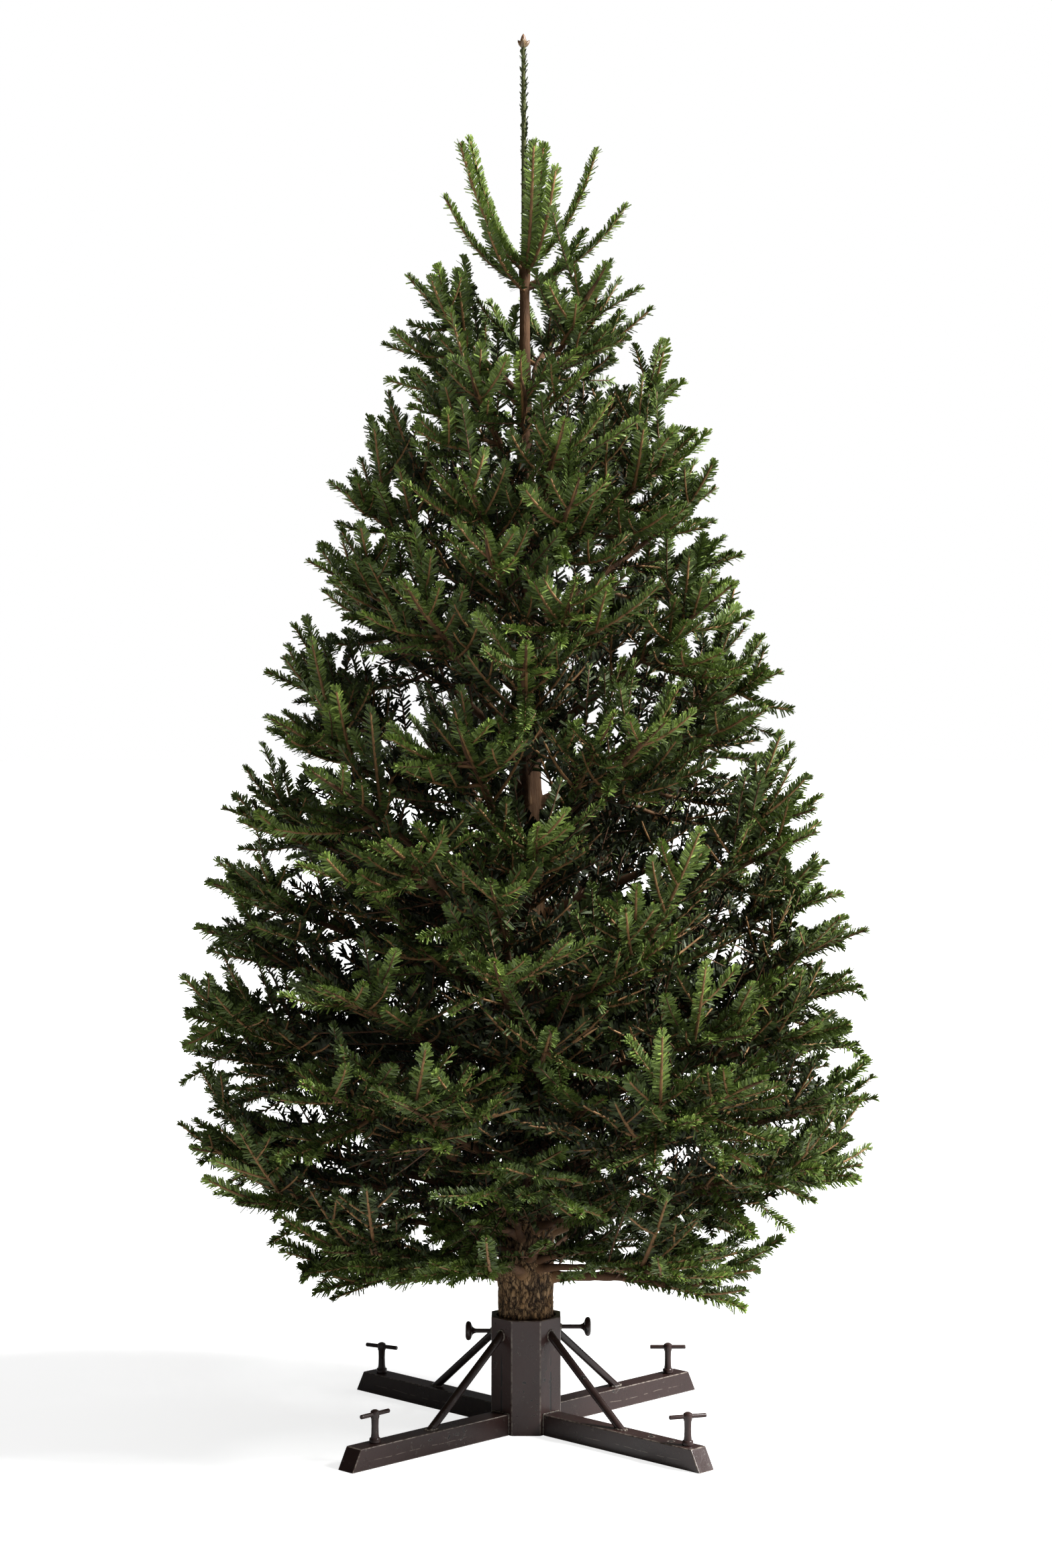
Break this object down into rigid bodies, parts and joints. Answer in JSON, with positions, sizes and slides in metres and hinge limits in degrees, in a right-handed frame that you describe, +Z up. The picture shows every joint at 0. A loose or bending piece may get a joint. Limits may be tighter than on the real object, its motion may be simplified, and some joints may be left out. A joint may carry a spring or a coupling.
{
  "type": "cut fir christmas tree in a steel stand",
  "caption": "Undecorated cut fir with tiers of upswept, needle-covered limbs and a bare leader, held upright in an octagonal steel collar on four braced, splayed legs.",
  "frame": {"origin": "middle of the stand's flat underside, on the trunk's axis", "axes": "+Z up along the trunk, -Y towards the front as pictured, +X to the viewer's right"},
  "size_m": [1.3347, 1.2912, 2.6],
  "materials": {
    "stand_steel": "semi-gloss dark bronze paint with fine specks, small chips and worn edges",
    "screw_steel": "dark bronze paint, a little glossier, on the levelling and clamp screws",
    "bark": "matt brown bark, cracked low down and smoother grey-brown higher up",
    "needles": "satin dark green needles, lighter green towards the tips of the shoots"
  },
  "bodies": {
    "root": {"bough_2_a": "bark", "bough_2_b": "bark", "bough_2_c": "bark", "bough_2_d": "bark", "bough_2_e": "bark", "clamp_screw_left": "screw_steel", "clamp_screw_right": "screw_steel", "levelling_screw_back_left": "screw_steel", "levelling_screw_back_right": "screw_steel", "levelling_screw_front_left": "screw_steel", "levelling_screw_front_right": "screw_steel", "mass_10_a": "needles", "mass_10_b": "needles", "mass_10_c": "needles", "mass_10_d": "needles", "mass_1_a": "needles", "mass_1_b": "needles", "mass_1_c": "needles", "mass_1_d": "needles", "mass_2_a": "needles", "mass_2_b": "needles", "mass_2_c": "needles", "mass_2_d": "needles", "mass_2_e": "needles", "mass_3_a": "needles", "mass_3_b": "needles", "mass_3_c": "needles", "mass_3_d": "needles", "mass_4_a": "needles", "mass_4_b": "needles", "mass_4_c": "needles", "mass_4_d": "needles", "mass_5_a": "needles", "mass_5_b": "needles", "mass_5_c": "needles", "mass_5_d": "needles", "mass_6_a": "needles", "mass_6_b": "needles", "mass_6_c": "needles", "mass_6_d": "needles", "mass_7_a": "needles", "mass_7_b": "needles", "mass_7_c": "needles", "mass_7_d": "needles", "mass_8_a": "needles", "mass_8_b": "needles", "mass_8_c": "needles", "mass_9_a": "needles", "mass_9_b": "needles", "mass_9_c": "needles", "stand_brace_back_left": "stand_steel", "stand_brace_back_right": "stand_steel", "stand_brace_front_left": "stand_steel", "stand_brace_front_right": "stand_steel", "stand_collar": "stand_steel", "stand_leg_back_left": "stand_steel", "stand_leg_back_right": "stand_steel", "stand_leg_front_left": "stand_steel", "stand_leg_front_right": "stand_steel", "trunk": "bark"}
  },
  "joints": []
}
